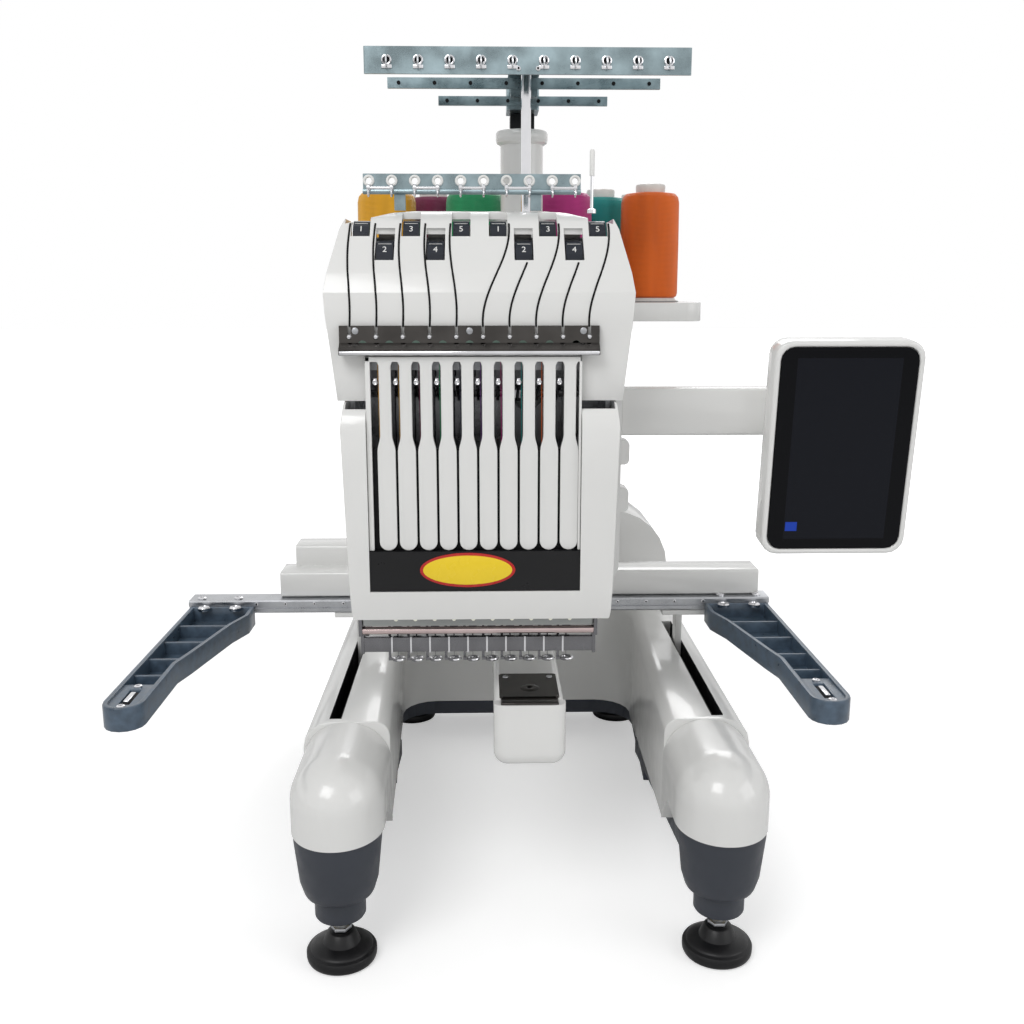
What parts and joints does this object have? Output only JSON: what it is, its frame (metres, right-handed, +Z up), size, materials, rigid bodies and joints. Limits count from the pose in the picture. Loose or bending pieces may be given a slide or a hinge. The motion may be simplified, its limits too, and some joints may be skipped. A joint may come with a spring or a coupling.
{
  "type": "embroidery machine",
  "caption": "Embroidery machine with a sliding needle case, a hoop drive beam with hoop arms, a cylinder arm, a thread stand with guides and a tilting touch screen, on levelling feet.",
  "frame": {"origin": "on the floor, at the centre of the footprint box", "axes": "+Z up, the front of the machine towards -Y, +X to the right seen from the front"},
  "size_m": [0.6694, 0.604, 0.75],
  "materials": {
    "white_plastic": "glossy warm white moulding",
    "grey_plastic": "satin slate grey",
    "black_rubber": "matt black",
    "chrome": "polished",
    "dark_chrome": "dark mirror",
    "zinc_steel": "zinc plated, bluish",
    "painted_casting": "satin blue-grey paint",
    "screen_glass": "black display glass",
    "thread": "wound embroidery thread, one colour per cone"
  },
  "bodies": {
    "base": {"base_tray": "grey_plastic", "base_shell": "white_plastic", "leg_cover_left": "white_plastic", "leg_cover_right": "white_plastic", "column_shell": "white_plastic", "main_motor": "grey_plastic", "drive_belt": "black_rubber", "bed_arm": "white_plastic", "needle_plate": "dark_chrome", "guide_tower": "white_plastic", "guide_bars": "zinc_steel", "guide_plate_top": "zinc_steel", "guide_post": "chrome", "spool_tray": "white_plastic", "thread_cones": "thread", "screen_arm": "white_plastic"},
    "foot_front_left": {"foot_front_left": "black_rubber"},
    "foot_front_right": {"foot_front_right": "black_rubber"},
    "foot_rear_left": {"foot_rear_left": "black_rubber"},
    "foot_rear_right": {"foot_rear_right": "black_rubber"},
    "drive_shaft": {"main_shaft": "zinc_steel"},
    "hook": {"rotary_hook": "zinc_steel"},
    "hook_door": {"hook_cover": "white_plastic"},
    "beam": {"y_beam": "white_plastic"},
    "carriage": {"x_carriage": "zinc_steel", "hoop_arm_left": "painted_casting", "hoop_arm_right": "painted_casting"},
    "needle_case": {"case_frame": "zinc_steel", "case_front_cover": "white_plastic", "name_band": "grey_plastic", "finger_comb": "white_plastic", "case_upper_cover": "white_plastic", "take_up_levers_parked": "chrome", "thread_plate": "dark_chrome", "foot_rail": "dark_chrome", "head_guide_rail": "zinc_steel"},
    "take_up_3": {"take_up_lever_3": "chrome"},
    "needle_3": {"needle_bar_3": "chrome"},
    "foot_3": {"presser_foot_3": "chrome"},
    "screen": {"screen_housing": "white_plastic", "screen_glass": "screen_glass"},
    "needle_01": {"needle_unit_01": "chrome"},
    "needle_02": {"needle_unit_02": "chrome"},
    "needle_04": {"needle_unit_04": "chrome"},
    "needle_05": {"needle_unit_05": "chrome"},
    "needle_06": {"needle_unit_06": "chrome"},
    "needle_07": {"needle_unit_07": "chrome"},
    "needle_08": {"needle_unit_08": "chrome"},
    "needle_09": {"needle_unit_09": "chrome"},
    "needle_10": {"needle_unit_10": "chrome"},
    "dial_01": {"tension_dial_01": "grey_plastic"},
    "dial_02": {"tension_dial_02": "grey_plastic"},
    "dial_03": {"tension_dial_03": "grey_plastic"},
    "dial_04": {"tension_dial_04": "grey_plastic"},
    "dial_05": {"tension_dial_05": "grey_plastic"},
    "dial_06": {"tension_dial_06": "grey_plastic"},
    "dial_07": {"tension_dial_07": "grey_plastic"},
    "dial_08": {"tension_dial_08": "grey_plastic"},
    "dial_09": {"tension_dial_09": "grey_plastic"},
    "dial_10": {"tension_dial_10": "grey_plastic"}
  },
  "joints": [
    {"name": "foot_front_left_screw", "type": "hinge", "parent": "base", "child": "foot_front_left", "pos_m": [-0.15075, -0.264, 0.03], "axis": [0, 0, 1], "continuous": true},
    {"name": "foot_front_right_screw", "type": "hinge", "parent": "base", "child": "foot_front_right", "pos_m": [0.17125, -0.264, 0.03], "axis": [0, 0, 1], "continuous": true},
    {"name": "foot_rear_left_screw", "type": "hinge", "parent": "base", "child": "foot_rear_left", "pos_m": [-0.12475, 0.258, 0.03], "axis": [0, 0, 1], "continuous": true},
    {"name": "foot_rear_right_screw", "type": "hinge", "parent": "base", "child": "foot_rear_right", "pos_m": [0.14525, 0.258, 0.03], "axis": [0, 0, 1], "continuous": true},
    {"name": "case_slide", "type": "slide", "parent": "base", "child": "needle_case", "axis": [1, 0, 0], "range_m": [-0.032, 0.112]},
    {"name": "beam_slide", "type": "slide", "parent": "base", "child": "beam", "axis": [0, 1, 0], "range_m": [-0.155, 0.045]},
    {"name": "carriage_slide", "type": "slide", "parent": "beam", "child": "carriage", "axis": [1, 0, 0], "range_m": [-0.11, 0.2]},
    {"name": "needle_bar_3_slide", "type": "slide", "parent": "needle_case", "child": "needle_3", "axis": [0, 0, -1], "range_m": [0, 0.04]},
    {"name": "presser_foot_3_slide", "type": "slide", "parent": "needle_case", "child": "foot_3", "axis": [0, 0, -1], "range_m": [0, 0.024]},
    {"name": "take_up_lever_3_swing", "type": "hinge", "parent": "needle_case", "child": "take_up_3", "pos_m": [0.00025, -0.198, 0.474], "axis": [1, 0, 0], "range_deg": [0, 46]},
    {"name": "needle_01_slide", "type": "slide", "parent": "needle_case", "child": "needle_01", "axis": [0, 0, -1], "range_m": [0, 0.022], "stiffness_N_per_m": 150, "springref_m": -0.012},
    {"name": "needle_02_slide", "type": "slide", "parent": "needle_case", "child": "needle_02", "axis": [0, 0, -1], "range_m": [0, 0.022], "stiffness_N_per_m": 150, "springref_m": -0.012},
    {"name": "needle_04_slide", "type": "slide", "parent": "needle_case", "child": "needle_04", "axis": [0, 0, -1], "range_m": [0, 0.022], "stiffness_N_per_m": 150, "springref_m": -0.012},
    {"name": "needle_05_slide", "type": "slide", "parent": "needle_case", "child": "needle_05", "axis": [0, 0, -1], "range_m": [0, 0.022], "stiffness_N_per_m": 150, "springref_m": -0.012},
    {"name": "needle_06_slide", "type": "slide", "parent": "needle_case", "child": "needle_06", "axis": [0, 0, -1], "range_m": [0, 0.022], "stiffness_N_per_m": 150, "springref_m": -0.012},
    {"name": "needle_07_slide", "type": "slide", "parent": "needle_case", "child": "needle_07", "axis": [0, 0, -1], "range_m": [0, 0.022], "stiffness_N_per_m": 150, "springref_m": -0.012},
    {"name": "needle_08_slide", "type": "slide", "parent": "needle_case", "child": "needle_08", "axis": [0, 0, -1], "range_m": [0, 0.022], "stiffness_N_per_m": 150, "springref_m": -0.012},
    {"name": "needle_09_slide", "type": "slide", "parent": "needle_case", "child": "needle_09", "axis": [0, 0, -1], "range_m": [0, 0.022], "stiffness_N_per_m": 150, "springref_m": -0.012},
    {"name": "needle_10_slide", "type": "slide", "parent": "needle_case", "child": "needle_10", "axis": [0, 0, -1], "range_m": [0, 0.022], "stiffness_N_per_m": 150, "springref_m": -0.012},
    {"name": "dial_01_turn", "type": "hinge", "parent": "needle_case", "child": "dial_01", "pos_m": [-0.12415, -0.1895, 0.5955], "axis": [1, 0, 0], "range_deg": [-150, 150]},
    {"name": "dial_02_turn", "type": "hinge", "parent": "needle_case", "child": "dial_02", "pos_m": [-0.10425, -0.207, 0.579], "axis": [1, 0, 0], "range_deg": [-150, 150]},
    {"name": "dial_03_turn", "type": "hinge", "parent": "needle_case", "child": "dial_03", "pos_m": [-0.08435, -0.1895, 0.5955], "axis": [1, 0, 0], "range_deg": [-150, 150]},
    {"name": "dial_04_turn", "type": "hinge", "parent": "needle_case", "child": "dial_04", "pos_m": [-0.06445, -0.207, 0.579], "axis": [1, 0, 0], "range_deg": [-150, 150]},
    {"name": "dial_05_turn", "type": "hinge", "parent": "needle_case", "child": "dial_05", "pos_m": [-0.04455, -0.1895, 0.5955], "axis": [1, 0, 0], "range_deg": [-150, 150]},
    {"name": "dial_06_turn", "type": "hinge", "parent": "needle_case", "child": "dial_06", "pos_m": [-0.01495, -0.1895, 0.5955], "axis": [1, 0, 0], "range_deg": [-150, 150]},
    {"name": "dial_07_turn", "type": "hinge", "parent": "needle_case", "child": "dial_07", "pos_m": [0.00495, -0.207, 0.579], "axis": [1, 0, 0], "range_deg": [-150, 150]},
    {"name": "dial_08_turn", "type": "hinge", "parent": "needle_case", "child": "dial_08", "pos_m": [0.02485, -0.1895, 0.5955], "axis": [1, 0, 0], "range_deg": [-150, 150]},
    {"name": "dial_09_turn", "type": "hinge", "parent": "needle_case", "child": "dial_09", "pos_m": [0.04475, -0.207, 0.579], "axis": [1, 0, 0], "range_deg": [-150, 150]},
    {"name": "dial_10_turn", "type": "hinge", "parent": "needle_case", "child": "dial_10", "pos_m": [0.06465, -0.1895, 0.5955], "axis": [1, 0, 0], "range_deg": [-150, 150]},
    {"name": "main_shaft_spin", "type": "hinge", "parent": "base", "child": "drive_shaft", "pos_m": [0.01025, -0.01, 0.47], "axis": [0, 1, 0], "continuous": true},
    {"name": "rotary_hook_spin", "type": "hinge", "parent": "base", "child": "hook", "pos_m": [0.01025, -0.21, 0.186], "axis": [0, 1, 0], "continuous": true},
    {"name": "hook_cover_open", "type": "hinge", "parent": "base", "child": "hook_door", "pos_m": [0.01025, -0.2303, 0.162], "axis": [1, 0, 0], "range_deg": [0, 90]},
    {"name": "screen_tilt", "type": "hinge", "parent": "base", "child": "screen", "pos_m": [0.27275, -0.161, 0.452], "axis": [1, 0, 0], "range_deg": [-15, 10]}
  ],
  "couplings": [
    {"joint": "presser_foot_3_slide", "follows": "needle_bar_3_slide", "ratio": 0.6},
    {"joint": "take_up_lever_3_swing", "follows": "needle_bar_3_slide", "rad_per_m": 19.2},
    {"joint": "rotary_hook_spin", "follows": "main_shaft_spin", "ratio": -2}
  ]
}
